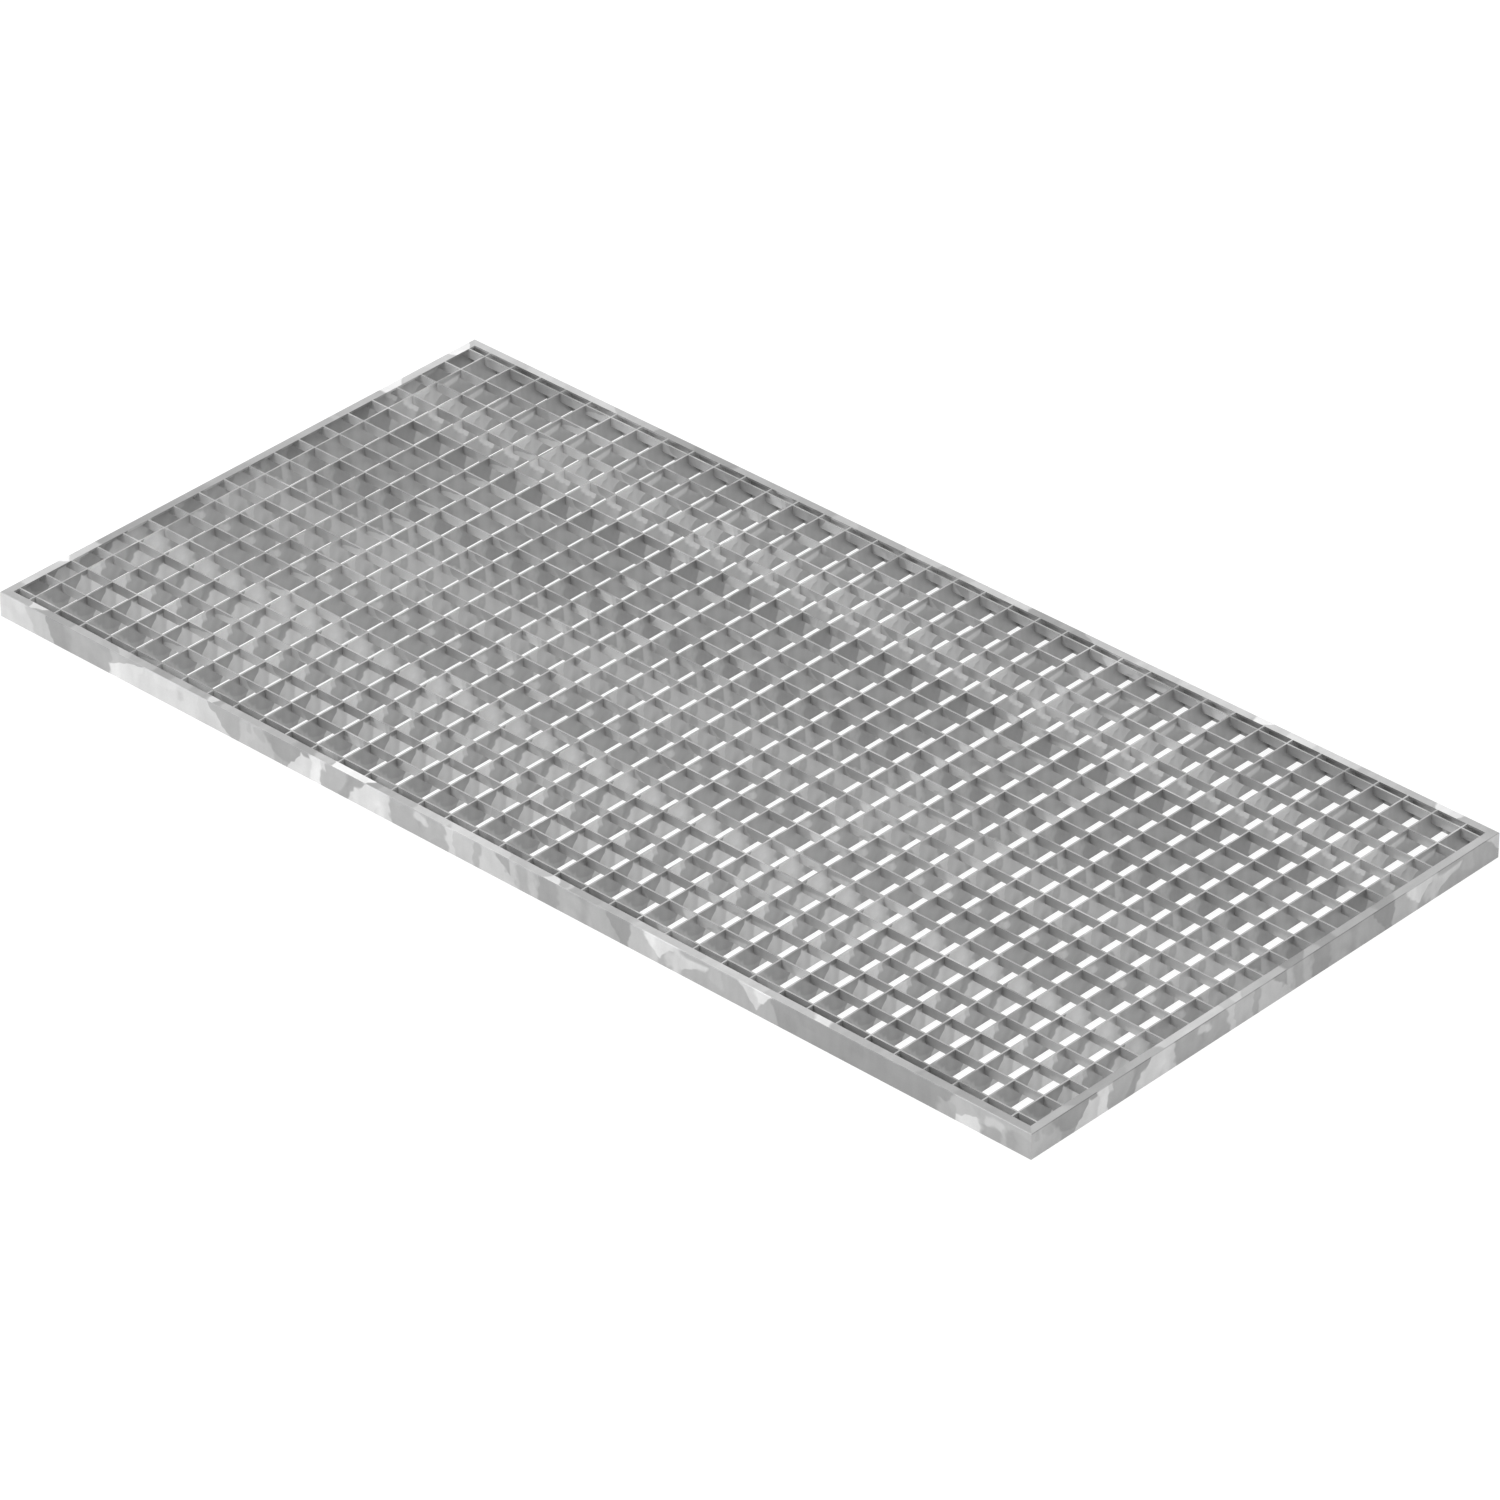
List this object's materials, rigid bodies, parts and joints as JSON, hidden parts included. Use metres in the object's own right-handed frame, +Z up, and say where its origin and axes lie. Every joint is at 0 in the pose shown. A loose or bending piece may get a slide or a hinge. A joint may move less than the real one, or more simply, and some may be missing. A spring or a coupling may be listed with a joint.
{
  "type": "steel grating panel",
  "caption": "Flat rectangular steel grating panel: deep bearing bars crossed by shallower flush cross bars in a square open mesh, edged all round with an angle rail.",
  "frame": {"origin": "centre of the underside, on the bottom edge of the middle bearing bar", "axes": "+X along the panel's length, square to the bearing bars; +Y along its width, which the bearing bars span; +Z up, out of the tread surface"},
  "size_m": [1.2, 0.594, 0.025],
  "materials": {
    "galvanised_rail": "hot-dip galvanised, dull grey with lighter mottling",
    "galvanised_bars": "hot-dip galvanised, dull grey with lighter mottling"
  },
  "bodies": {
    "root": {"front_long_rail": "galvanised_rail", "back_long_rail": "galvanised_rail", "left_short_rail": "galvanised_rail", "right_short_rail": "galvanised_rail", "mesh_section_1": "galvanised_bars", "mesh_section_2": "galvanised_bars", "mesh_section_3": "galvanised_bars", "mesh_section_4": "galvanised_bars"}
  },
  "joints": []
}
